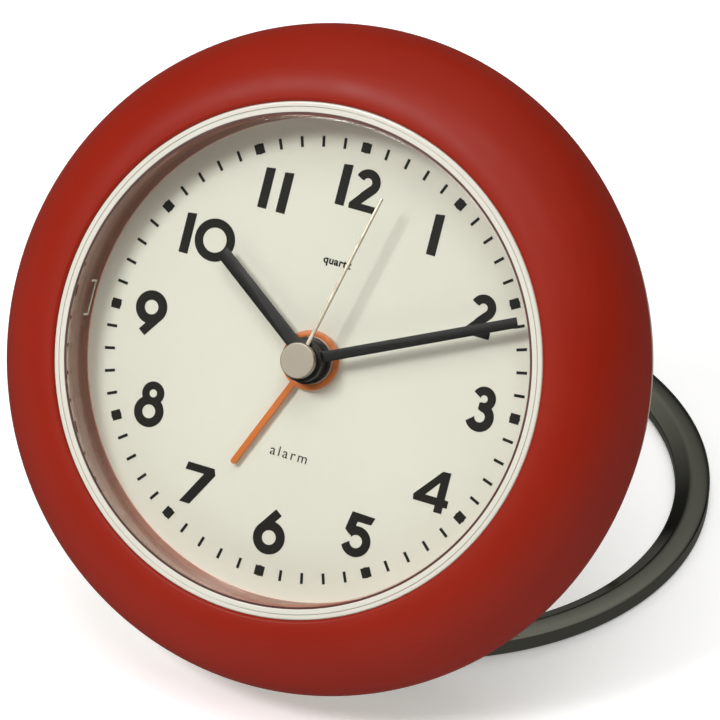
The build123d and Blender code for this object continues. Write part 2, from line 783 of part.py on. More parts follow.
spring_l = spring_room - contact_t
with BuildPart() as contact_minus:
    with BuildSketch(cell_plane.offset(-cell_l / 2 - spring_room)):
        Circle(4.2)
    extrude(amount=contact_t)
    with BuildSketch(cell_plane.offset(-cell_l / 2 - spring_l)):
        Circle(3.6)
        Circle(3.1, mode=Mode.SUBTRACT)
    with BuildSketch(cell_plane.offset(-cell_l / 2)):
        Circle(2.2)
        Circle(1.7, mode=Mode.SUBTRACT)
    loft()
contact_minus.part.label = "contact_minus"
export_step(contact_minus.part, "parts/contact_minus.step")

# ---------------------------------------------------------------- battery door
door_half = 22.4
door_low_y = -19.9
door_top_y = -8.5
door_y = (door_low_y + door_top_y) / 2
ledge = 1.0
with BuildPart() as battery_door:
    with BuildSketch(clock.offset(boss_z)):
        with Locations((0, door_y)):
            RectangleRounded(2 * (door_half - slide_gap), door_top_y - door_low_y - 2 * slide_gap, 1.0)
    extrude(amount=case_wall - 0.6)
    with BuildSketch(clock.offset(boss_z + case_wall - 0.6)):
        with Locations((0, door_y)):
            Rectangle(2 * (door_half - ledge - slide_gap), door_top_y - door_low_y - 2 * (ledge + slide_gap))
    extrude(amount=0.6)
    with BuildSketch(clock.offset(boss_z)):
        with Locations((0, door_low_y + 2.6)):
            SlotOverall(9.0, 2.0)
    extrude(amount=0.5, mode=Mode.SUBTRACT)
battery_door.part.label = "battery_door"
export_step(battery_door.part, "parts/battery_door.step")

# ---------------------------------------------------------------- hinge geometry
hinge_arm = (closed_y - ring_y) / (1 - lean_s)
pivot_y = ring_y - lean_s * hinge_arm
pivot_z = ring_z + lean_c * hinge_arm
pin_r = 0.6
barrel_r = 1.25
ear_x = 5.0
ear_w = 3.5
lug_w = 3.0
pivot = in_world(0, pivot_y, pivot_z)
hinge_plane = Plane(origin=pivot, x_dir=(0, -1, 0), z_dir=(-1, 0, 0))
pin_half = ear_x + ear_w / 2 + slide_gap + lug_w

# ---------------------------------------------------------------- cream rear shell
side_s = sin(radians(shoulder_tilt))
side_c = cos(radians(shoulder_tilt))
spigot_r = crown_r + crest_a - bezel_wall
spigot_wall = 1.2
rim_z = seam_z - seam_gap
with BuildPart() as rear_case:
    with BuildSketch(profile):
        with BuildLine():
            bend_x = shoulder_c_r + shoulder_round * side_c
            bend_y = shoulder_c_z - shoulder_round * side_s
            Line((spigot_r, rim_z), (rear_rim_r, rim_z))
            Line((rear_rim_r, rim_z), (bend_x, bend_y))
            CenterArc((shoulder_c_r, shoulder_c_z), shoulder_round, -90, 90 - shoulder_tilt)
            Line((shoulder_c_r, shoulder_c_z - shoulder_round), (boss_r, shoulder_c_z - shoulder_round))
            Line((boss_r, shoulder_c_z - shoulder_round), (boss_r, boss_z))
            Line((boss_r, boss_z), (0, boss_z))
            Line((0, boss_z), (0, waist_z))
            Line((0, waist_z), (spigot_r, waist_z))
            Line((spigot_r, waist_z), (spigot_r, rim_z))
        make_face()
    revolve(axis=arbor)
    fillet(rear_case.edges().filter_by(GeomType.CIRCLE).sort_by(arbor)[0], boss_round)
    for side in (-1, 1):
        with BuildSketch(hinge_plane.offset(side * ear_x - ear_w / 2)):
            Circle(barrel_r)
            Polygon((-barrel_r, 0), (0.85, 0.9), (4.4, 4.4), (-barrel_r, 4.4), align=None)
        extrude(amount=ear_w)
    with BuildSketch(profile):
        with BuildLine():
            inner_round = shoulder_round - case_wall
            turn_x = shoulder_c_r + inner_round * side_c
            turn_y = shoulder_c_z - inner_round * side_s
            Line((0, waist_z), (spigot_r - spigot_wall, waist_z))
            Line((spigot_r - spigot_wall, waist_z), (spigot_r - spigot_wall, rim_z - 1))
            Line((spigot_r - spigot_wall, rim_z - 1), (turn_x, turn_y))
            CenterArc((shoulder_c_r, shoulder_c_z), inner_round, -90, 90 - shoulder_tilt)
            shoulder_floor = shoulder_c_z - inner_round
            Line((shoulder_c_r, shoulder_floor), (boss_r - case_wall, shoulder_floor))
            Line((boss_r - case_wall, shoulder_floor), (boss_r - case_wall, boss_floor))
            Line((boss_r - case_wall, boss_floor), (0, boss_floor))
            Line((0, boss_floor), (0, waist_z))
        make_face()
    revolve(axis=arbor, mode=Mode.SUBTRACT)
    with BuildSketch(clock.offset(boss_z)):
        with Locations((0, door_y)):
            RectangleRounded(2 * door_half, door_top_y - door_low_y, 1.0 + slide_gap)
    extrude(amount=case_wall - 0.6, mode=Mode.SUBTRACT)
    with BuildSketch(clock.offset(boss_z)):
        with Locations((0, door_y)):
            Rectangle(2 * (door_half - ledge), door_top_y - door_low_y - 2 * ledge)
        with Locations((motion_x, motion_y), (alarm_x, alarm_y)):
            Circle(stem_r + run)
        with Locations((switch_x, switch_y)):
            Rectangle(slot_l, switch_w + 2 * slide_gap)
        with Locations(*screw_spots):
            Circle(screw_r)
        with Locations((buzzer_x, buzzer_y)):
            with GridLocations(0, 2.0, 1, 4):
                SlotOverall(7.0, 0.9)
    extrude(amount=case_wall, mode=Mode.SUBTRACT)
    with BuildSketch(clock.offset(boss_z)):
        with Locations(*screw_spots):
            Circle(1.7)
    extrude(amount=0.8, mode=Mode.SUBTRACT)
    with BuildSketch(hinge_plane.offset(-pin_half)):
        Circle(pin_r)
    extrude(amount=2 * pin_half, mode=Mode.SUBTRACT)
rear_case.part.label = "rear_case"
export_step(rear_case.part, "parts/rear_case.step")

# ---------------------------------------------------------------- case screws
with BuildPart() as case_screws:
    with BuildSketch(clock.offset(boss_z)):
        with Locations(*screw_spots):
            Circle(1.7)
    extrude(amount=0.8)
    with BuildSketch(clock.offset(boss_z + 0.8)):
        with Locations(*screw_spots):
            Circle(screw_r)
    extrude(amount=7.0)
    with BuildSketch(clock.offset(boss_z)):
        with Locations(*screw_spots):
            Rectangle(2.2, 0.45)
            Rectangle(0.45, 2.2)
    extrude(amount=0.45, mode=Mode.SUBTRACT)
case_screws.part.label = "case_screws"
export_step(case_screws.part, "parts/case_screws.step")

# ---------------------------------------------------------------- stand ring and its pin
ring_axis_point = in_world(0, ring_y, ring_z)
ring_profile = Plane(origin=ring_axis_point, x_dir=(1, 0, 0), z_dir=(0, -1, 0))
ring_axis = Axis(ring_axis_point, (0, 0, 1))
outer_edge = 0.45
inner_edge = 1.2
with BuildPart() as stand_ring:
    with BuildSketch(ring_profile):
        with Locations(((ring_r + ring_bore_r) / 2, 0)):
            Rectangle(ring_r - ring_bore_r, ring_h)
    revolve(axis=ring_axis)
    rims = stand_ring.edges().filter_by(GeomType.CIRCLE).group_by(SortBy.RADIUS)
    fillet(rims[-1], outer_edge)
    fillet(rims[0], inner_edge)
    for side in (-1, 1):
        lug_mid = side * (ear_x + ear_w / 2 + slide_gap + lug_w / 2)
        with BuildSketch(hinge_plane.offset(lug_mid - lug_w / 2)):
            Circle(barrel_r)
            with Locations((1.6, 0)):
                Rectangle(3.2, 2 * barrel_r)
        extrude(amount=lug_w)
    with BuildSketch(hinge_plane.offset(-pin_half)):
        Circle(pin_r + run)
    extrude(amount=2 * pin_half, mode=Mode.SUBTRACT)
stand_ring.part.label = "stand_ring"
export_step(stand_ring.part, "parts/stand_ring.step")

with BuildPart() as hinge_pin:
    with BuildSketch(hinge_plane.offset(-pin_half)):
        Circle(pin_r)
    extrude(amount=2 * pin_half)
hinge_pin.part.label = "hinge_pin"
export_step(hinge_pin.part, "parts/hinge_pin.step")
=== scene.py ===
"""Looks of the round travel alarm clock on its folding ring.

Lengths inside the classes are millimetres in the clock's own frame: x towards
3 o'clock, y towards 12 o'clock, z out of the dial face, origin at the centre
of the dial. Every finished mesh is in metres in the part's frame.
"""

import json  # noqa: E402
import logging  # noqa: E402
import math  # noqa: E402
from collections.abc import Sequence  # noqa: E402
from dataclasses import dataclass, field  # noqa: E402
from enum import Enum  # noqa: E402

import bpy  # noqa: E402
from mathutils import Matrix, Vector  # noqa: E402

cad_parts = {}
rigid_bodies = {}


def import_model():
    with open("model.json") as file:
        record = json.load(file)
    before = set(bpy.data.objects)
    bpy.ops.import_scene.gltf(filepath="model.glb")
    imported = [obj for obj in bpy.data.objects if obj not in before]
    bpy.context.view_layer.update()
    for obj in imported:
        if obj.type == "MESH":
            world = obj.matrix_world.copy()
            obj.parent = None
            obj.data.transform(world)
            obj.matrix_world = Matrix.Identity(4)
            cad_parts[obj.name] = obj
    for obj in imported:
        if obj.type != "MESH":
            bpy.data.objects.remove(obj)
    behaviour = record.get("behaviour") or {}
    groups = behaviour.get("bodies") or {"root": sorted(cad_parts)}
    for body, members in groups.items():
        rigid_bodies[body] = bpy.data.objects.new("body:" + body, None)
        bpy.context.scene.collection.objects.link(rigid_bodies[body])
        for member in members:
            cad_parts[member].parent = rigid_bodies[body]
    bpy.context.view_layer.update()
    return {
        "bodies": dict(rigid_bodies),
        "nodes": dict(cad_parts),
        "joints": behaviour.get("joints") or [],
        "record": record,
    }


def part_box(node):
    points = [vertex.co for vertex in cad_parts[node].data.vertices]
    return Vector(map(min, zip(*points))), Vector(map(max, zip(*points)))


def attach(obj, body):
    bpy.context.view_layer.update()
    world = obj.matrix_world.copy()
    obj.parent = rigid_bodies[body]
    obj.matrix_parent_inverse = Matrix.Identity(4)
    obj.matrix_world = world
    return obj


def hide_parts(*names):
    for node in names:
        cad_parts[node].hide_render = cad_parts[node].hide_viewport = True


LOG = logging.getLogger("travel_clock")
MM = 0.001
FULL_TURN = 2 * math.pi
SMOOTH_ANGLE = math.radians(32)

Colour = tuple[float, float, float]
Outline = list[tuple[float, float]]


class Body(Enum):
    """Moving groups of the clock that a piece can ride on."""

    CASE = "case"
    STAND = "stand"
    HOUR = "hour_body"
    MINUTE = "minute_body"
    SECOND = "second_body"
    ALARM = "alarm_body"
    TIME_SET = "motion_body"
    ALARM_SET = "alarm_setting"
    SWITCH = "switch_slider"
    DOOR = "door"


# --------------------------------------------------------------------------
# Placing
# --------------------------------------------------------------------------


@dataclass(frozen=True)
class Placing:
    """A local frame, in metres, that pieces are modelled in.

    Args:
        origin: Where the local origin lies.
        right: Direction of local x.
        up: Direction of local y.
        normal: Direction of local z.
    """

    origin: Vector
    right: Vector
    up: Vector
    normal: Vector

    def matrix(self) -> Matrix:
        """Matrix from local millimetres to the part's frame."""
        turn = Matrix((self.right, self.up, self.normal)).transposed().to_4x4()
        return Matrix.Translation(self.origin) @ turn @ Matrix.Scale(MM, 4)

    def at(self, x: float, y: float, z: float) -> Vector:
        """Point of the part's frame for local millimetres."""
        return self.matrix() @ Vector((x, y, z))


def joint_of(frame: dict, name: str) -> dict:
    """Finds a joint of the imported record.

    Args:
        name: The joint's name.

    Returns:
        The joint's entry.
    """
    return next(joint for joint in frame["joints"] if joint["name"] == name)


def clock_placing(frame: dict) -> Placing:
    """Frame of the dial, from the joint that the minute hand turns on."""
    joint = joint_of(frame, "minute_turn")
    normal = Vector(joint["axis"]).normalized()
    right = Vector((1, 0, 0))
    return Placing(Vector(joint["pos_m"]), right, normal.cross(right), normal)


def stand_placing(frame: dict) -> Placing:
    """Frame of the stand ring: origin at its centre, half its height up, y forwards."""
    low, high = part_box("stand_ring")
    middle = (low + high) / 2
    return Placing(middle, Vector((1, 0, 0)), Vector((0, 1, 0)), Vector((0, 0, 1)))


# --------------------------------------------------------------------------
# Workshop: modelling with operators
# --------------------------------------------------------------------------


def nothing_selected() -> None:
    """Leaves object mode with nothing selected."""
    if bpy.context.object and bpy.context.object.mode != "OBJECT":
        bpy.ops.object.mode_set(mode="OBJECT")
    bpy.ops.object.select_all(action="DESELECT")


def only(piece: bpy.types.Object) -> None:
    """Makes one object the selected and active one."""
    nothing_selected()
    piece.select_set(True)
    bpy.context.view_layer.objects.active = piece


def settle(piece: bpy.types.Object, placing: Placing, angle: float = SMOOTH_ANGLE) -> bpy.types.Object:
    """Moves a locally modelled piece to its place and smooths it.

    Args:
        piece: The object, modelled in local millimetres.
        placing: The frame that it was modelled in.
        angle: Edges sharper than this stay sharp.

    Returns:
        The same object, at the origin and unturned.
    """
    only(piece)
    piece.matrix_world = placing.matrix() @ piece.matrix_world
    bpy.ops.object.transform_apply(location=True, rotation=True, scale=True)
    bpy.ops.object.mode_set(mode="EDIT")
    bpy.ops.mesh.select_all(action="SELECT")
    bpy.ops.mesh.normals_make_consistent(inside=False)
    bpy.ops.object.mode_set(mode="OBJECT")
    bpy.ops.object.shade_smooth_by_angle(angle=angle)
    return piece


def seed_vertex(name: str, x: float, y: float, z: float) -> bpy.types.Object:
    """A one-vertex object in edit mode, ready to be extruded.

    Args:
        name: Name of the new object.
        x: Local place of the vertex, and likewise y and z.
        y: See x.
        z: See x.

    Returns:
        The object.
    """
    nothing_selected()
    bpy.ops.mesh.primitive_plane_add(size=2, location=(0, 0, 0))
    piece = bpy.context.object
    piece.name = name
    bpy.ops.object.mode_set(mode="EDIT")
    bpy.ops.mesh.select_all(action="SELECT")
    bpy.ops.mesh.merge(type="CENTER")
    bpy.ops.transform.translate(value=(x, y, z))
    return piece


def extrude_along(points: Sequence[tuple[float, float, float]]) -> None:
    """Extrudes the selected vertex from the first point through the others."""
    for start, end in zip(points, points[1:]):
        step = Vector(end) - Vector(start)
        bpy.ops.mesh.extrude_region_move(TRANSFORM_OT_translate={"value": tuple(step)})


def braced(outline: Outline, margin: float = 0.05, shortest: float = 0.35) -> Outline:
    """Adds a point close to both ends of each long side, so that flats shade flat.

    Args:
        outline: Corner points.
        margin: Distance of the added points from the corners.
        shortest: Sides shorter than this are left alone.

    Returns:
        The outline with the added points.
    """
    result = []
    for (x, y), (next_x, next_y) in zip(outline, outline[1:] + outline[:1]):
        result.append((x, y))
        length = math.hypot(next_x - x, next_y - y)
        if length > shortest:
            near = margin / length
            result.append((x + (next_x - x) * near, y + (next_y - y) * near))
            result.append((next_x - (next_x - x) * near, next_y - (next_y - y) * near))
    return result


def lathe(name: str, outline: Outline, steps: int = 192, closed: bool = True) -> bpy.types.Object:
    """Turns an outline about local z.

    Args:
        name: Name of the new object.
        outline: Corner points (radius, height).
        steps: Steps in the full turn.
        closed: Whether the last point joins the first.

    Returns:
        The turned object, in object mode.
    """
    shape = braced(outline) if closed else braced(outline)[:-2]
    points = [(radius, 0.0, height) for radius, height in shape]
    piece = seed_vertex(name, *points[0])
    extrude_along(points + points[:1] if closed else points)
    bpy.ops.mesh.select_all(action="SELECT")
    bpy.ops.mesh.remove_doubles(threshold=1e-4)
    bpy.ops.mesh.select_all(action="SELECT")
    bpy.ops.mesh.spin(steps=steps, angle=FULL_TURN, center=(0, 0, 0), axis=(0, 0, 1), use_auto_merge=True)
    bpy.ops.mesh.select_all(action="SELECT")
    bpy.ops.mesh.remove_doubles(threshold=1e-4)
    bpy.ops.object.mode_set(mode="OBJECT")
    return piece


def plate(name: str, corners: Outline, low: float, high: float) -> bpy.types.Object:
    """Extrudes a flat outline into a plate.

    Args:
        name: Name of the new object.
        corners: Outline corners (x, y), anticlockwise.
        low: Height of the underside.
        high: Height of the top.

    Returns:
        The plate, in object mode.
    """
    points = [(x, y, low) for x, y in corners]
    piece = seed_vertex(name, *points[0])
    extrude_along(points + points[:1])
    bpy.ops.mesh.select_all(action="SELECT")
    bpy.ops.mesh.remove_doubles(threshold=1e-4)
    bpy.ops.mesh.select_all(action="SELECT")
    bpy.ops.mesh.edge_face_add()
    bpy.ops.mesh.extrude_region_move(TRANSFORM_OT_translate={"value": (0, 0, high - low)})
    bpy.ops.object.mode_set(mode="OBJECT")
    return piece


def bevelled(piece: bpy.types.Object, width: float, segments: int = 2) -> bpy.types.Object:
    """Rounds the sharp edges of a piece with an applied bevel.

    Args:
        piece: The object.
        width: Width of the bevel in the piece's own units.
        segments: Segments across the round.

    Returns:
        The same object.
    """
    only(piece)
    bevel = piece.modifiers.new("edge", "BEVEL")
    bevel.width = width
    bevel.segments = segments
    bevel.limit_method = "ANGLE"
    bevel.angle_limit = SMOOTH_ANGLE
    bpy.ops.object.modifier_apply(modifier=bevel.name)
    return piece


def joined(name: str, pieces: Sequence[bpy.types.Object]) -> bpy.types.Object:
    """Joins several objects into one.

    Args:
        name: Name of the result.
        pieces: The objects.

    Returns:
        The joined object.
    """
    nothing_selected()
    for piece in pieces:
        piece.select_set(True)
    bpy.context.view_layer.objects.active = pieces[0]
    if len(pieces) > 1:
        bpy.ops.object.join()
    result = bpy.context.object
    result.name = name
    return result


def refined(frame: dict, node: str, name: str, edge: float = 0.0) -> bpy.types.Object:
    """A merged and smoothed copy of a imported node, which it stands for.

    Args:
        node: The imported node.
        name: Name of the copy.
        edge: Width in metres of the small round on its edges, or 0.

    Returns:
        The copy.
    """
    nothing_selected()
    source = frame["nodes"][node]
    piece = bpy.data.objects.new(name, source.data.copy())
    bpy.context.scene.collection.objects.link(piece)
    piece.data.materials.clear()
    only(piece)
    bpy.ops.object.mode_set(mode="EDIT")
    bpy.ops.mesh.select_all(action="SELECT")
    bpy.ops.mesh.remove_doubles(threshold=2e-7)
    bpy.ops.mesh.customdata_custom_splitnormals_clear()
    bpy.ops.mesh.dissolve_limited(angle_limit=math.radians(0.5))
    bpy.ops.object.mode_set(mode="OBJECT")
    if edge:
        bevelled(piece, edge, 2)
    bpy.ops.object.shade_smooth_by_angle(angle=SMOOTH_ANGLE)
    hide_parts(node)
    return piece


def arc(centre_x: float, centre_y: float, radius_x: float, radius_y: float,
        start: float, end: float, count: int) -> Outline:
    """Points of an elliptical arc.

    Args:
        centre_x: Centre, and likewise centre_y.
        centre_y: See centre_x.
        radius_x: Half-width of the ellipse.
        radius_y: Half-height of the ellipse.
        start: First angle in degrees.
        end: Last angle in degrees.
        count: Number of points.

    Returns:
        The points in order.
    """
    points = []
    for index in range(count):
        turn = math.radians(start + (end - start) * index / (count - 1))
        points.append((centre_x + radius_x * math.cos(turn), centre_y + radius_y * math.sin(turn)))
    return points


# --------------------------------------------------------------------------
# Finishes
# --------------------------------------------------------------------------


class Finish:
    """A material made of nodes."""

    def __init__(self, name: str) -> None:
        """Starts an empty material with its output and object coordinates."""
        self.material = bpy.data.materials.new(name)
        self.material.use_nodes = True
        self.tree = self.material.node_tree
        self.tree.nodes.clear()
        self.output = self.tree.nodes.new("ShaderNodeOutputMaterial")
        self.place = self.tree.nodes.new("ShaderNodeTexCoord").outputs["Object"]

    def shader(self, colour: Colour, roughness: float, metallic: float = 0.0) -> bpy.types.Node:
        """Principled shader joined to the output.

        Args:
            colour: Base colour, linear.
            roughness: Roughness.
            metallic: 1 for a metal.

        Returns:
            The shader node.
        """
        node = self.tree.nodes.new("ShaderNodeBsdfPrincipled")
        node.inputs["Base Color"].default_value = (*colour, 1)
        node.inputs["Roughness"].default_value = roughness
        node.inputs["Metallic"].default_value = metallic
        self.tree.links.new(node.outputs["BSDF"], self.output.inputs["Surface"])
        return node

    def noise(self, scale: float, detail: float = 3.0, stretch: Colour = (1, 1, 1)) -> bpy.types.NodeSocket:
        """Noise on object coordinates.

        Args:
            scale: Noise scale, per metre.
            detail: Octaves of detail.
            stretch: Scale along each axis.

        Returns:
            The factor socket.
        """
        mapping = self.tree.nodes.new("ShaderNodeMapping")
        mapping.inputs["Scale"].default_value = stretch
        self.tree.links.new(self.place, mapping.inputs["Vector"])
        node = self.tree.nodes.new("ShaderNodeTexNoise")
        node.inputs["Scale"].default_value = scale
        node.inputs["Detail"].default_value = detail
        self.tree.links.new(mapping.outputs["Vector"], node.inputs["Vector"])
        return node.outputs["Fac"]

    def between(self, factor: bpy.types.NodeSocket, low: float, high: float) -> bpy.types.NodeSocket:
        """Maps a factor from 0.3..0.7 to a range."""
        node = self.tree.nodes.new("ShaderNodeMapRange")
        node.inputs["From Min"].default_value = 0.3
        node.inputs["From Max"].default_value = 0.7
        node.inputs["To Min"].default_value = low
        node.inputs["To Max"].default_value = high
        self.tree.links.new(factor, node.inputs["Value"])
        return node.outputs["Result"]

    def tint(self, factor: bpy.types.NodeSocket, first: Colour, second: Colour) -> bpy.types.NodeSocket:
        """Colour between two, by a factor."""
        node = self.tree.nodes.new("ShaderNodeValToRGB")
        node.color_ramp.elements[0].position = 0.3
        node.color_ramp.elements[1].position = 0.7
        node.color_ramp.elements[0].color = (*first, 1)
        node.color_ramp.elements[1].color = (*second, 1)
        self.tree.links.new(factor, node.inputs["Fac"])
        return node.outputs["Color"]

    def bump(self, height: bpy.types.NodeSocket, target: bpy.types.Node, depth: float,
             strength: float = 1.0) -> None:
        """Bump on a shader.

        Args:
            height: Height factor.
            target: The shader node.
            depth: Height of the relief in metres.
            strength: Strength of the effect.
        """
        node = self.tree.nodes.new("ShaderNodeBump")
        node.inputs["Distance"].default_value = depth
        node.inputs["Strength"].default_value = strength
        self.tree.links.new(height, node.inputs["Height"])
        self.tree.links.new(node.outputs["Normal"], target.inputs["Normal"])

    def join(self, output: bpy.types.NodeSocket, node: bpy.types.Node, name: str) -> None:
        """Links a socket to a node's input."""
        self.tree.links.new(output, node.inputs[name])


@dataclass(frozen=True)
class Moulded:
    """Moulded or painted plastic with a fine grain.

    Args:
        name: Name of the material.
        colour: Main colour.
        shade: Second colour of the faint mottling.
        roughness: Middle roughness.
        spread: How far the roughness varies.
        grain: Scale of the grain, per metre.
        depth: Depth of the grain in metres.
        sheen: Weight of the soft sheen.
        specular: Specular level.
    """

    name: str
    colour: Colour
    shade: Colour
    roughness: float = 0.45
    spread: float = 0.04
    grain: float = 5000.0
    depth: float = 8e-6
    sheen: float = 0.0
    specular: float = 0.5

    def make(self) -> bpy.types.Material:
        """Builds the material."""
        finish = Finish(self.name)
        node = finish.shader(self.colour, self.roughness)
        node.inputs["Specular IOR Level"].default_value = self.specular
        node.inputs["Sheen Weight"].default_value = self.sheen
        node.inputs["Sheen Roughness"].default_value = 0.5
        finish.join(finish.tint(finish.noise(60, 4), self.colour, self.shade), node, "Base Color")
        low, high = self.roughness - self.spread, self.roughness + self.spread
        rough = finish.between(finish.noise(180, 3), low, high)
        finish.join(rough, node, "Roughness")
        finish.bump(finish.noise(self.grain, 2), node, self.depth)
        return finish.material


@dataclass(frozen=True)
class Metal:
    """Solid or plated metal.

    Args:
        name: Name of the material.
        colour: Reflection colour.
        roughness: Middle roughness.
        spread: How far the roughness varies.
        stretch: Direction of the polishing marks, as scales of the noise.
        depth: Depth of the marks in metres.
    """

    name: str
    colour: Colour
    roughness: float = 0.2
    spread: float = 0.05
    stretch: Colour = (1, 1, 1)
    depth: float = 1e-6

    def make(self) -> bpy.types.Material:
        """Builds the material."""
        finish = Finish(self.name)
        node = finish.shader(self.colour, self.roughness, 1.0)
        marks = finish.noise(900, 4, self.stretch)
        low, high = self.roughness - self.spread, self.roughness + self.spread
        finish.join(finish.between(marks, low, high), node, "Roughness")
        finish.bump(marks, node, self.depth)
        return finish.material


@dataclass(frozen=True)
class Clear:
    """Thin clear plastic that keeps what lies behind it bright.

    Args:
        name: Name of the material.
        tint: Colour of the light that passes.
        gloss: Share of gloss seen square on.
        edge: Share of gloss at grazing angles.
        roughness: Roughness of the gloss.
    """

    name: str
    tint: Colour = (0.985, 0.985, 0.975)
    gloss: float = 0.035
    edge: float = 0.5
    roughness: float = 0.02

    def make(self) -> bpy.types.Material:
        """Builds the material."""
        finish = Finish(self.name)
        tree = finish.tree
        clear = tree.nodes.new("ShaderNodeBsdfTransparent")
        clear.inputs["Color"].default_value = (*self.tint, 1)
        shine = tree.nodes.new("ShaderNodeBsdfGlossy")
        shine.inputs["Roughness"].default_value = self.roughness
        facing = tree.nodes.new("ShaderNodeLayerWeight")
        facing.inputs["Blend"].default_value = 0.18
        share = tree.nodes.new("ShaderNodeMapRange")
        share.inputs["To Min"].default_value = self.gloss
        share.inputs["To Max"].default_value = self.edge
        tree.links.new(facing.outputs["Fresnel"], share.inputs["Value"])
        mix = tree.nodes.new("ShaderNodeMixShader")
        tree.links.new(share.outputs["Result"], mix.inputs["Fac"])
        tree.links.new(clear.outputs["BSDF"], mix.inputs[1])
        tree.links.new(shine.outputs["BSDF"], mix.inputs[2])
        tree.links.new(mix.outputs["Shader"], finish.output.inputs["Surface"])
        return finish.material


RED = Moulded(
    "red_soft_touch", (0.265, 0.014, 0.0045), (0.245, 0.012, 0.004), 0.42, 0.03, 3800, 6e-6, 0.0, 0.14
)
CREAM = Moulded("cream_shell", (0.50, 0.45, 0.36), (0.47, 0.42, 0.34), 0.42)
PALE = Moulded("pale_trim", (0.66, 0.64, 0.56), (0.62, 0.60, 0.52), 0.22, 0.03)
FACE = Moulded("luminous_dial", (0.83, 0.83, 0.735), (0.80, 0.805, 0.71), 0.62, 0.05, 2600, 8e-6, 0.0, 0.2)
# Rose wall colour is partly the red bore's own colour and partly painted reflection: made brighter to stand
# in for the clear wall's gloss and light bounced from the dial.
LINER = Moulded("rose_wall_painted_reflection", (0.86, 0.36, 0.26), (0.72, 0.28, 0.20), 0.25, 0.04, 1500, 1e-5)
# Dark rose paint on a thin ring at the crystal's edge: painted shade standing in for the shadow in the gap
# between crystal and pale ring.
PAINTED_GAP_SHADE = Moulded("dark_rose_painted_shade", (0.10, 0.035, 0.028), (0.08, 0.028, 0.022), 0.3, 0.04)
INK = Moulded("dial_ink", (0.008, 0.008, 0.006), (0.013, 0.012, 0.009), 0.55, 0.04, 6000, 3e-6, 0.0, 0.2)
BLACK = Moulded(
    "black_hand_paint", (0.007, 0.007, 0.006), (0.011, 0.011, 0.009), 0.45, 0.05, 6000, 3e-6, 0.0, 0.3
)
ORANGE = Moulded("orange_hand_paint", (0.74, 0.20, 0.035), (0.70, 0.18, 0.03), 0.45, 0.04)
DARK = Moulded("black_moulding", (0.018, 0.018, 0.018), (0.026, 0.026, 0.025), 0.45)
PLAIN = Moulded("plain_moulding", (0.55, 0.54, 0.49), (0.50, 0.49, 0.44), 0.5)
WHEEL = Moulded("wheel_moulding", (0.72, 0.70, 0.64), (0.66, 0.64, 0.58), 0.4)
BOARD = Moulded("board_mask", (0.02, 0.13, 0.05), (0.015, 0.10, 0.04), 0.35)
CELL = Moulded("cell_sleeve", (0.03, 0.03, 0.035), (0.05, 0.045, 0.04), 0.3)
GUNMETAL = Metal("dark_chrome_ring", (0.37, 0.365, 0.31), 0.07, 0.02, (1, 1, 1), 3e-7)
STEEL = Metal("satin_steel", (0.55, 0.53, 0.49), 0.30, 0.06, (1, 1, 1), 1e-6)
CAP = Metal("satin_nickel_cap", (0.48, 0.43, 0.355), 0.44, 0.05, (1, 14, 1), 1e-6)
NEEDLE = Metal("bright_second_hand", (0.30, 0.27, 0.22), 0.42, 0.05)
COPPER = Metal("winding_copper", (0.75, 0.32, 0.14), 0.3, 0.08, (1, 1, 1), 2e-6)
CRYSTAL = Clear("clear_crystal")


class Palette:
    """Makes each finish once."""

    def __init__(self) -> None:
        """Starts with nothing made."""
        self.made: dict[str, bpy.types.Material] = {}

    def of(self, finish: Moulded | Metal | Clear) -> bpy.types.Material:
        """The material of a finish."""
        if finish.name not in self.made:
            self.made[finish.name] = finish.make()
        return self.made[finish.name]


@dataclass
class Assembly:
    """What every sub-assembly of the clock shares.

    Args:
        palette: The materials.
        placing: The dial's frame.
    """

    frame: dict
    palette: Palette
    placing: Placing

    def dress(self, piece: bpy.types.Object, finish: Moulded | Metal | Clear) -> bpy.types.Object:
        """Gives a piece its only material."""
        piece.data.materials.clear()
        piece.data.materials.append(self.palette.of(finish))
        return piece

    def carry(self, piece: bpy.types.Object, body: Body, slot: str, *nodes: str) -> bpy.types.Object:
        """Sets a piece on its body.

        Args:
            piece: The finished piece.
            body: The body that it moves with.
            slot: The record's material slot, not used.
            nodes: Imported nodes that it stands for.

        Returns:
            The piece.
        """
        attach(piece, body.value)
        if nodes:
            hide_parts(*nodes)
        LOG.info("%s: %d faces", piece.name, len(piece.data.polygons))
        return piece

    def keep(self, node: str, finish: Moulded | Metal | Clear) -> None:
        """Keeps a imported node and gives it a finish."""
        kept = self.frame["nodes"][node]
        kept.data.materials.clear()
        kept.data.materials.append(self.palette.of(finish))


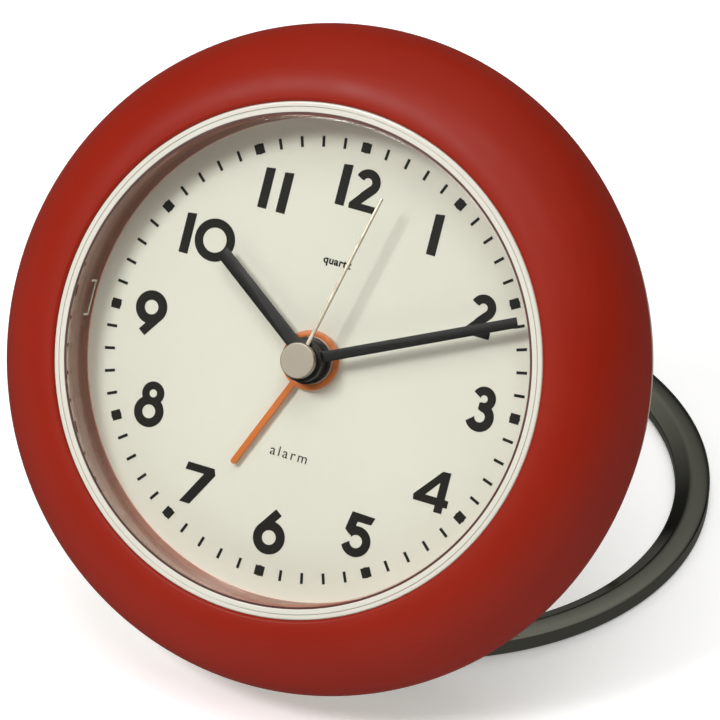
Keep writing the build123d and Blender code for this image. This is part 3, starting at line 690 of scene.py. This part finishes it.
@dataclass
class Housing(Assembly):
    """Red bezel and cream rear shell."""

    body_r: float = 41.5
    crown_r: float = 32.3
    crown_z: float = 7.0
    waist_z: float = -4.9
    bore_r: float = 31.45
    wall: float = 2.0
    seam_z: float = -6.2
    hem: float = 0.7

    def bezel(self) -> None:
        """The fat domed bezel."""
        across = self.body_r - self.crown_r
        rise = self.crown_z - self.waist_z
        low = math.degrees(math.asin((self.seam_z + self.hem - self.waist_z) / rise))
        outline = arc(self.crown_r, self.waist_z, across, rise, low, 93, 72)
        lip = 0.42
        outline += arc(self.bore_r + lip, self.crown_z - lip - 0.04, lip, lip, 95, 180, 9)
        outline += [(self.bore_r, 0.0), (self.bore_r + 1.5, 0.0)]
        start = math.degrees(math.asin((0.0 - self.waist_z) / (rise - self.wall)))
        outline += arc(self.crown_r, self.waist_z, across - self.wall, rise - self.wall, start, 0, 14)
        outline += [(self.body_r - self.wall, self.seam_z)]
        outer = outline[0][0]
        outline += arc(outer - self.hem, self.seam_z + self.hem, self.hem, self.hem, -90, -8, 9)
        piece = settle(lathe("bezel_shell", outline, 240), self.placing)
        self.dress(piece, RED)
        self.carry(piece, Body.CASE, "red_shell", "front_bezel")

    def build(self) -> None:
        """Builds the housing."""
        self.bezel()
        shell = refined(self.frame, "rear_case", "rear_shell", 0.00018)
        self.dress(shell, CREAM)
        self.carry(shell, Body.CASE, "cream_shell")


@dataclass
class Glazing(Assembly):
    """Pale ring, rose wall below it, snap tabs and clear crystal."""

    outer_r: float = 31.45
    crystal_r: float = 30.4
    lip_r: float = 30.12
    line_r: float = 29.86
    lip_low: float = 6.1
    top: float = 6.75
    groove_r: float = 30.75
    groove_w: float = 0.09
    wall: float = 0.7
    foot: float = 0.3
    glass_top: float = 6.8
    glass_t: float = 0.8
    tab_w: float = 4.6
    tab_low: float = 1.3
    tab_high: float = 2.9
    rib: float = 0.28

    def trim(self) -> None:
        """The pale ring between bezel and crystal, with a fine groove."""
        soft, edge, depth = 0.25, 0.08, 0.16
        outline = [(self.outer_r, self.lip_low - 0.5)]
        outline += arc(self.outer_r - soft, self.top - soft, soft, soft, 0, 90, 7)
        far = self.groove_r + self.groove_w
        outline += [(far, self.top), (far, self.top - depth)]
        outline += [(self.groove_r, self.top - depth), (self.groove_r, self.top)]
        outline += arc(self.lip_r + edge, self.top - edge, edge, edge, 90, 180, 4)
        outline += [(self.lip_r, self.lip_low), (self.crystal_r + 0.01, self.lip_low)]
        outline += [(self.crystal_r + 0.01, self.lip_low - 0.5)]
        piece = settle(lathe("crystal_trim_ring", outline, 240), self.placing)
        self.dress(piece, PALE)
        self.carry(piece, Body.CASE, "pale_trim", "lens_surround")

    def edge_line(self) -> None:
        """A dark ring where the crystal meets the pale ring: painted shade for the shadowed gap there."""
        outline = [(self.lip_r - 0.01, self.lip_low), (self.lip_r - 0.01, self.top - 0.03)]
        outline += [(self.line_r, self.top - 0.03), (self.line_r, self.lip_low)]
        piece = settle(lathe("crystal_edge_painted_shade", outline, 240), self.placing)
        self.dress(piece, PAINTED_GAP_SHADE)
        self.carry(piece, Body.CASE, "pale_trim")

    def liner(self) -> None:
        """The wall below the pale ring, seen through the crystal; its bright rose colour is partly painted
        reflection and bounce light.
        """
        bore = self.crystal_r + 0.01
        inner = self.crystal_r - self.wall + 0.02
        high = self.lip_low - 0.52
        outline = [(self.outer_r, 0.0), (self.outer_r, high), (bore, high)]
        outline += [(bore, self.foot), (inner, self.foot), (inner, 0.0)]
        piece = settle(lathe("crystal_wall_liner", outline, 240), self.placing)
        self.dress(piece, LINER)
        self.carry(piece, Body.CASE, "pale_trim")

    def tabs(self) -> None:
        """The raised outlines of the two snap tabs, at 9 and 3 o'clock."""
        half, inner = self.tab_w / 2, self.tab_w / 2 - self.rib
        low, high = self.tab_low, self.tab_high
        corners = [(half, high), (inner, high), (inner, low + self.rib), (-inner, low + self.rib)]
        corners += [(-inner, high), (-half, high), (-half, low), (half, low)]
        reach = (self.crystal_r - self.wall - 0.16) * MM
        for side, name in ((-1, "snap_tab_left"), (1, "snap_tab_right")):
            frame = Placing(
                self.placing.origin + self.placing.right * reach * side,
                self.placing.up * side, self.placing.normal, self.placing.right * side,
            )
            piece = settle(bevelled(plate(name, corners, 0.0, 0.14), 0.03), frame)
            self.dress(piece, PALE)
            self.carry(piece, Body.CASE, "clear")

    def crystal(self) -> None:
        """The clear cup, stepped in under the ring's lip."""
        soft = 0.2
        bore = self.crystal_r - self.wall
        rim = self.line_r - 0.02
        outline = [(self.crystal_r - 0.02, self.foot + 0.02), (self.crystal_r - 0.02, self.lip_low - 0.03)]
        outline += [(rim, self.lip_low - 0.03)]
        outline += arc(rim - soft, self.glass_top - soft, soft, soft, 0, 90, 6)
        outline += [(0.0, self.glass_top), (0.0, self.glass_top - self.glass_t)]
        outline += arc(bore - soft, self.glass_top - self.glass_t - soft, soft, soft, 90, 0, 5)
        outline += [(bore, self.foot + 0.02)]
        piece = settle(lathe("crystal_cup", outline, 240), self.placing)
        self.dress(piece, CRYSTAL)
        self.carry(piece, Body.CASE, "clear", "crystal")

    def build(self) -> None:
        """Builds the glazing."""
        self.trim()
        self.edge_line()
        self.liner()
        self.tabs()
        self.crystal()


@dataclass
class DialFace(Assembly):
    """Dial, printed figures, track and two plain words."""

    print_t: float = 0.03

    def word(
        self, text: str, name: str, middle_y: float, width: float, weight: float, spacing: float
    ) -> bpy.types.Object:
        """A printed word, centred across the dial.

        Args:
            text: The plain word.
            name: Name of the piece.
            middle_y: Height of its middle on the dial.
            width: Width of the word.
            weight: How much the strokes are thickened, in parts of the font size.
            spacing: Room between letters, as a factor.

        Returns:
            The finished word.
        """
        nothing_selected()
        bpy.ops.object.text_add(location=(0, 0, 0))
        piece = bpy.context.object
        piece.name = name
        piece.data.body = text
        piece.data.offset = weight
        piece.data.space_character = spacing
        piece.data.resolution_u = 6
        bpy.ops.object.convert(target="MESH")
        xs = [vertex.co.x for vertex in piece.data.vertices]
        ys = [vertex.co.y for vertex in piece.data.vertices]
        scale = width / (max(xs) - min(xs))
        shift = Vector((-(max(xs) + min(xs)) / 2, -(max(ys) + min(ys)) / 2, 0)) * scale
        piece.matrix_world = Matrix.Translation(shift + Vector((0, middle_y, 0.002))) @ Matrix.Scale(scale, 4)
        bpy.ops.object.transform_apply(location=True, rotation=True, scale=True)
        bpy.ops.object.mode_set(mode="EDIT")
        bpy.ops.mesh.select_all(action="SELECT")
        bpy.ops.mesh.extrude_region_move(TRANSFORM_OT_translate={"value": (0, 0, self.print_t)})
        bpy.ops.object.mode_set(mode="OBJECT")
        return settle(piece, self.placing)

    def build(self) -> None:
        """Dresses the dial and prints the words."""
        self.keep("dial", FACE)
        self.keep("hour_numerals", INK)
        self.keep("minute_track", INK)
        for text, middle_y, width, weight, spacing in (
            ("quartz", 12.2, 3.7, 0.03, 1.06),
            ("alarm", -11.95, 4.9, -0.002, 1.28),
        ):
            piece = self.word(text, "dial_word_" + text, middle_y, width, weight, spacing)
            self.dress(piece, INK)
            self.carry(piece, Body.CASE, "ink")


@dataclass
class HandSet(Assembly):
    """The four hands and the cap."""

    blade_edge: float = 0.00004
    cap_r: float = 2.2
    cap_low: float = 4.9
    cap_high: float = 5.7

    def cap(self) -> None:
        """The round nickel cap."""
        soft = 0.1
        outline = [(0.0, self.cap_low), (self.cap_r, self.cap_low)]
        outline += arc(self.cap_r - soft, self.cap_high - soft, soft, soft, 0, 90, 5)
        outline += [(0.0, self.cap_high)]
        piece = settle(lathe("second_cap_disc", outline, 96, False), self.placing)
        self.dress(piece, CAP)
        self.carry(piece, Body.SECOND, "steel", "second_cap")

    def build(self) -> None:
        """Builds the hands."""
        for node, body, slot, finish in (
            ("alarm_hand", Body.ALARM, "orange_paint", ORANGE),
            ("hour_hand", Body.HOUR, "black_paint", BLACK),
            ("minute_hand", Body.MINUTE, "black_paint", BLACK),
            ("second_hand", Body.SECOND, "steel", NEEDLE),
        ):
            piece = refined(self.frame, node, node + "_blade", self.blade_edge)
            self.dress(piece, finish)
            self.carry(piece, body, slot)
        self.cap()


@dataclass
class StandRing(Assembly):
    """Polished dark ring that the clock stands on."""

    outer_r: float = 39.4
    inner_r: float = 34.85
    height: float = 2.6
    crest_r: float = 37.3
    drop: float = 0.38
    turn: float = 1.6
    slope: float = 27.0
    lug_near: float = 6.9
    lug_w: float = 3.0
    lug_r: float = 1.25
    lug_reach: float = 3.2
    lug_edge: float = 0.15
    ring: Placing = field(init=False)

    def __post_init__(self) -> None:
        """Finds the ring's own frame."""
        self.ring = stand_placing(self.frame)

    def lug(self, name: str, low: float) -> bpy.types.Object:
        """One hinge lug: a barrel round the pin with a web that runs into the ring.

        Args:
            name: Name of the lug.
            low: Where it starts along the pin.

        Returns:
            The lug.
        """
        pivot = Vector(joint_of(self.frame, "stand_fold")["pos_m"])
        across = Placing(pivot, Vector((0, -1, 0)), Vector((0, 0, 1)), Vector((-1, 0, 0)))
        outline = arc(0, 0, self.lug_r, self.lug_r, 90, 270, 17)
        outline += [(self.lug_reach, -self.lug_r), (self.lug_reach, self.lug_r)]
        return settle(bevelled(plate(name, outline, low, low + self.lug_w), self.lug_edge), across)

    def build(self) -> None:
        """Builds the ring."""
        half = self.height / 2
        edge, corner = 0.4, 0.12
        shoulder = half - self.drop
        outline = arc(self.outer_r - edge, -half + edge, edge, edge, -90, 0, 7)
        outline += arc(self.outer_r - corner, shoulder - corner, corner, corner, 0, 60, 4)
        outline += arc(self.crest_r, shoulder, self.outer_r - corner - self.crest_r, self.drop, 14, 90, 12)
        turn_r = self.crest_r - self.turn * math.sin(math.radians(self.slope))
        turn_z = half - self.turn * (1 - math.cos(math.radians(self.slope)))
        outline += arc(self.crest_r, half - self.turn, self.turn, self.turn, 96, 90 + self.slope, 8)
        low_r = self.inner_r + 0.25
        low_z = turn_z - (turn_r - low_r) * math.tan(math.radians(self.slope))
        outline += arc(low_r, low_z - 0.3, 0.25, 0.3, 110, 180, 5)
        outline += arc(self.inner_r + 0.7, -half + 0.7, 0.7, 0.7, 180, 265, 8)
        hoop = settle(lathe("hoop", outline, 288), self.ring)
        left = self.lug("left_lug", self.lug_near)
        right = self.lug("right_lug", -self.lug_near - self.lug_w)
        piece = joined("stand_hoop", (hoop, left, right))
        self.dress(piece, GUNMETAL)
        self.carry(piece, Body.STAND, "dark_chrome", "stand_ring")
        self.keep("hinge_pin", STEEL)


@dataclass
class BackControls(Assembly):
    """Knobs, door, slider and screws on the back."""

    edge: float = 0.00012

    def build(self) -> None:
        """Builds the controls."""
        for node, name, body, slot, finish in (
            ("time_knob", "time_set_knob", Body.TIME_SET, "cream_shell", CREAM),
            ("alarm_knob", "alarm_set_knob", Body.ALARM_SET, "cream_shell", CREAM),
            ("battery_door", "battery_hatch", Body.DOOR, "cream_shell", CREAM),
            ("alarm_switch", "alarm_slider", Body.SWITCH, "orange_plastic", ORANGE),
            ("case_screws", "back_screws", Body.CASE, "steel", STEEL),
        ):
            piece = refined(self.frame, node, name, self.edge)
            self.dress(piece, finish)
            self.carry(piece, body, slot)


@dataclass
class Movement(Assembly):
    """The hidden works."""

    def build(self) -> None:
        """Dresses the works."""
        for node in ("dial_seat", "movement_frame", "movement_cover", "battery_cradle"):
            self.keep(node, PLAIN)
        wheels = ("alarm_wheel", "hour_wheel", "centre_wheel", "third_wheel", "motion_wheel", "alarm_pinion")
        for node in wheels:
            self.keep(node, WHEEL)
        for node in ("seconds_arbor", "stator", "contact_plus", "contact_minus"):
            self.keep(node, STEEL)
        for node in ("switch_body", "buzzer"):
            self.keep(node, DARK)
        self.keep("circuit_board", BOARD)
        self.keep("coil", COPPER)
        self.keep("battery", CELL)


# --------------------------------------------------------------------------
# Studio
# --------------------------------------------------------------------------


@dataclass
class Studio:
    """Floor, lights and camera.

    Args:
        placing: The dial's frame.
    """

    placing: Placing
    floor_size: float = 6.0
    floor_grey: float = 0.92
    floor_glow: float = 0.30
    camera_at: tuple[float, float, float] = (187.23, 57.48, 545.75)
    camera_x: tuple[float, float, float] = (0.91197, 0.24615, -0.32820)
    camera_y: tuple[float, float, float] = (-0.26422, 0.96440, -0.01089)
    lens: float = 236.86

    def direction(self, local: tuple[float, float, float]) -> Vector:
        """A local direction in the part's frame."""
        x, y, z = local
        return self.placing.right * x + self.placing.up * y + self.placing.normal * z

    def camera(self) -> None:
        """Sets the camera in front of the dial, above it and to its right."""
        across, upward = self.direction(self.camera_x), self.direction(self.camera_y)
        data = bpy.data.cameras.new("view")
        data.lens = self.lens
        data.sensor_width = 36
        data.clip_start, data.clip_end = 0.05, 20
        camera = bpy.data.objects.new("view", data)
        bpy.context.scene.collection.objects.link(camera)
        turn = Matrix((across, upward, across.cross(upward))).transposed().to_4x4()
        camera.matrix_world = Matrix.Translation(self.placing.at(*self.camera_at)) @ turn
        bpy.context.scene.camera = camera

    def floor(self) -> None:
        """A plain pale floor that glows faintly and stays out of mirror reflections."""
        nothing_selected()
        bpy.ops.mesh.primitive_plane_add(size=self.floor_size, location=(0, 0, -0.0001))
        floor = bpy.context.object
        floor.name = "floor"
        finish = Finish("studio_floor")
        shader = finish.shader((self.floor_grey,) * 3, 0.6)
        shader.inputs["Emission Color"].default_value = (1, 1, 1, 1)
        shader.inputs["Emission Strength"].default_value = self.floor_glow
        floor.data.materials.append(finish.material)
        floor.visible_glossy = False

    def lamp(self, name: str, at: Colour, size: float, power: float, mirrored: bool = True) -> None:
        """A square soft light aimed at the clock.

        Args:
            name: Name of the light.
            at: Place in the part's frame, metres.
            size: Side of the light, metres.
            power: Watts.
            mirrored: Whether shiny surfaces show the lamp.
        """
        data = bpy.data.lights.new(name, "AREA")
        data.size = size
        data.energy = power
        lamp = bpy.data.objects.new(name, data)
        bpy.context.scene.collection.objects.link(lamp)
        place = Vector(at)
        aim = (self.placing.origin - place).to_track_quat("-Z", "Y")
        lamp.matrix_world = Matrix.Translation(place) @ aim.to_matrix().to_4x4()
        lamp.visible_glossy = mirrored

    def sky(self) -> bpy.types.World:
        """Surroundings that are grey overhead, with a dark band above the horizon."""
        world = bpy.data.worlds.new("studio")
        world.use_nodes = True
        tree = world.node_tree
        place = tree.nodes.new("ShaderNodeTexCoord")
        split = tree.nodes.new("ShaderNodeSeparateXYZ")
        ramp = tree.nodes.new("ShaderNodeValToRGB")
        low, high = ramp.color_ramp.elements
        low.position, high.position = 0.0, 0.8
        for element, grey in ((low, 0.10), (high, 0.34)):
            element.color = (grey, grey, grey * 0.95, 1)
        for position, grey in ((0.03, 0.10), (0.12, 0.12), (0.2, 0.015), (0.34, 0.03), (0.5, 0.13)):
            ramp.color_ramp.elements.new(position).color = (grey, grey, grey * 0.95, 1)
        tree.links.new(place.outputs["Generated"], split.inputs["Vector"])
        tree.links.new(split.outputs["Z"], ramp.inputs["Fac"])
        tree.links.new(ramp.outputs["Color"], tree.nodes["Background"].inputs["Color"])
        return world

    def build(self) -> None:
        """Sets the studio up."""
        self.camera()
        self.floor()
        self.lamp("key", (-0.45, -0.82, 1.0), 0.32, 10.5)
        self.lamp("over", (0.10, -0.42, 1.20), 0.60, 4.5)
        self.lamp("top", (0.1, 0.45, 1.5), 1.8, 10.0, mirrored=False)
        world = self.sky()
        bpy.context.scene.world = world
        bpy.context.scene.view_settings.view_transform = "Standard"


def main() -> None:
    """Builds the clock's looks and the studio."""
    logging.basicConfig(level=logging.INFO, format="%(name)s %(message)s")
    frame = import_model()
    placing = clock_placing(frame)
    palette = Palette()
    for assembly in (Housing, Glazing, DialFace, HandSet, StandRing, BackControls, Movement):
        LOG.info("building %s", assembly.__name__)
        assembly(frame, palette, placing).build()
    Studio(placing).build()
    nothing_selected()
    bpy.context.view_layer.update()


if __name__ == "__main__":
    main()
